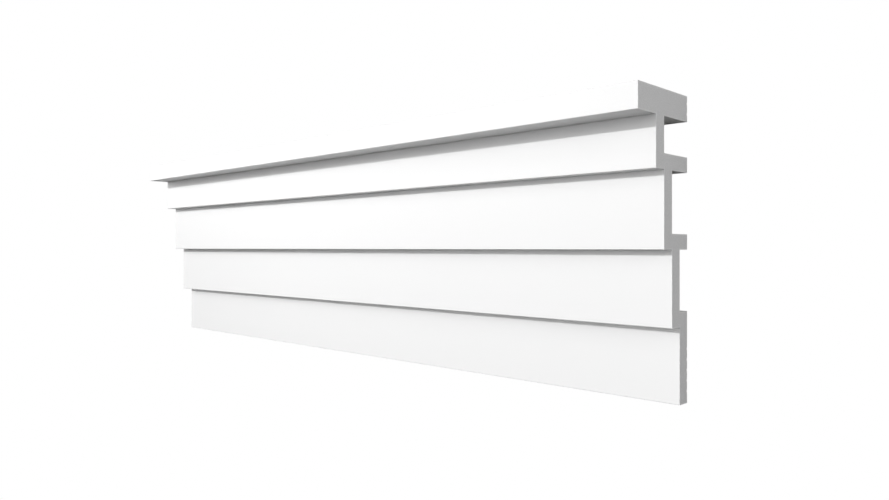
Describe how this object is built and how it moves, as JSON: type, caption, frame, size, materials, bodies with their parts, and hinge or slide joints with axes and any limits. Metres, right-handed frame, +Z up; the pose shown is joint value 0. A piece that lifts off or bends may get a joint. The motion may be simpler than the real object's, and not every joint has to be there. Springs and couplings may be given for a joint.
{
  "type": "cornice moulding",
  "caption": "Straight length of white cornice moulding: a thick cap over stepped flat bands, with a ribbed, open back that is glued to the wall.",
  "frame": {"origin": "middle of the length and of the wall height, on the plane that lies against the wall", "axes": "+X along the length, +Y up the wall towards the ceiling, +Z out from the wall; stored lying on its wall side, so Z is up"},
  "size_m": [0.625, 0.19, 0.061],
  "materials": {
    "white_polymer": "smooth primed white, fine-grained where it is sawn"
  },
  "bodies": {
    "root": {"cornice_moulding": "white_polymer"}
  },
  "joints": []
}
